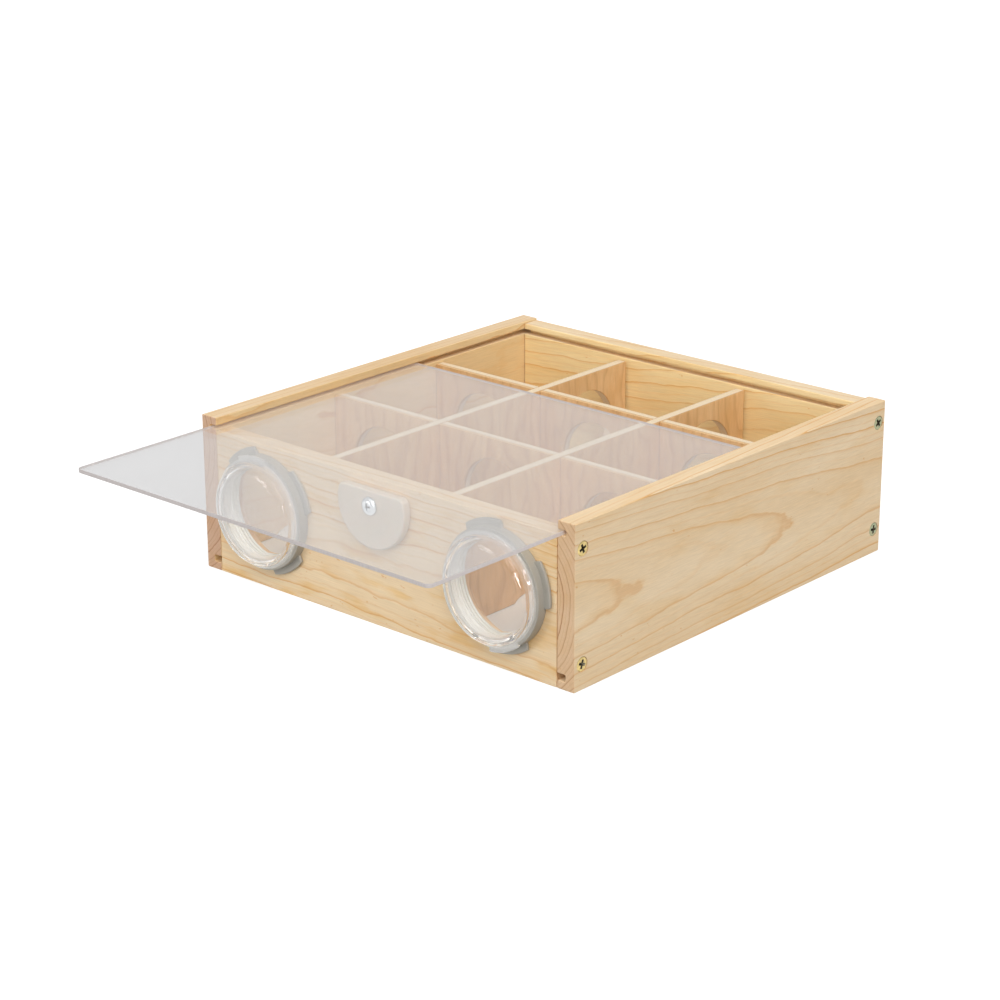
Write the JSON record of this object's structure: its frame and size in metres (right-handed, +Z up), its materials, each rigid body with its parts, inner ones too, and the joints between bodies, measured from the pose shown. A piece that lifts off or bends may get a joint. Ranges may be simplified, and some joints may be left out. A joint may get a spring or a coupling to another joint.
{
  "type": "wooden chamber box",
  "caption": "Wooden box divided into square chambers, with a sliding clear lid, a turning latch plate and two round front ports closed by clear caps.",
  "frame": {"origin": "bottom centre of the whole object, with its lid pulled out as at rest", "axes": "+Z up; +Y from the front face with the ports towards the back, the way the lid slides shut; +X to the right seen from the front"},
  "size_m": [0.3, 0.4068, 0.1],
  "materials": {
    "pine": "fine sanded, unfinished pine",
    "plywood": "sanded plywood with pale ply lines on the edges",
    "floor_board": "white faced board, satin",
    "clear_acrylic": "clear sheet, glossy",
    "latch_plastic": "milky plastic, soft satin",
    "clear_plastic": "clear moulded, glossy",
    "sleeve_plastic": "milky translucent moulded plastic",
    "grey_plastic": "fine satin moulded plastic",
    "yellow_zinc": "yellow passivated zinc",
    "bright_zinc": "bright zinc plate"
  },
  "bodies": {
    "box": {"side_board_left": "pine", "side_board_right": "pine", "front_board": "pine", "back_board": "pine", "floor_panel": "floor_board", "long_divider_left": "plywood", "long_divider_right": "plywood", "cross_divider_front": "plywood", "cross_divider_rear": "plywood", "port_sleeve_left": "sleeve_plastic", "port_sleeve_right": "sleeve_plastic", "latch_screw": "bright_zinc", "side_screw_left_front_upper": "yellow_zinc", "side_screw_left_front_lower": "yellow_zinc", "side_screw_left_back_upper": "yellow_zinc", "side_screw_left_back_lower": "yellow_zinc", "side_screw_right_front_upper": "yellow_zinc", "side_screw_right_front_lower": "yellow_zinc", "side_screw_right_back_upper": "yellow_zinc", "side_screw_right_back_lower": "yellow_zinc"},
    "lid": {"sliding_lid": "clear_acrylic"},
    "latch": {"latch_plate": "latch_plastic"},
    "left_ring": {"port_ring_left": "grey_plastic"},
    "left_cap": {"port_cap_left": "clear_plastic"},
    "right_ring": {"port_ring_right": "grey_plastic"},
    "right_cap": {"port_cap_right": "clear_plastic"}
  },
  "joints": [
    {"name": "lid_slide", "type": "slide", "parent": "box", "child": "lid", "axis": [0, 1, 0], "range_m": [-0.15, 0.112]},
    {"name": "latch_turn", "type": "hinge", "parent": "box", "child": "latch", "pos_m": [0, -0.0999, 0.0765], "axis": [0, -1, 0], "range_deg": [-13, 13]},
    {"name": "left_ring_turn", "type": "hinge", "parent": "box", "child": "left_ring", "pos_m": [-0.0943, -0.1001, 0.05], "axis": [0, -1, 0], "range_deg": [0, 45]},
    {"name": "left_cap_pull", "type": "slide", "parent": "left_ring", "child": "left_cap", "axis": [0, -1, 0], "range_m": [0, 0.03]},
    {"name": "right_ring_turn", "type": "hinge", "parent": "box", "child": "right_ring", "pos_m": [0.0943, -0.1001, 0.05], "axis": [0, -1, 0], "range_deg": [0, 45]},
    {"name": "right_cap_pull", "type": "slide", "parent": "right_ring", "child": "right_cap", "axis": [0, -1, 0], "range_m": [0, 0.03]}
  ]
}
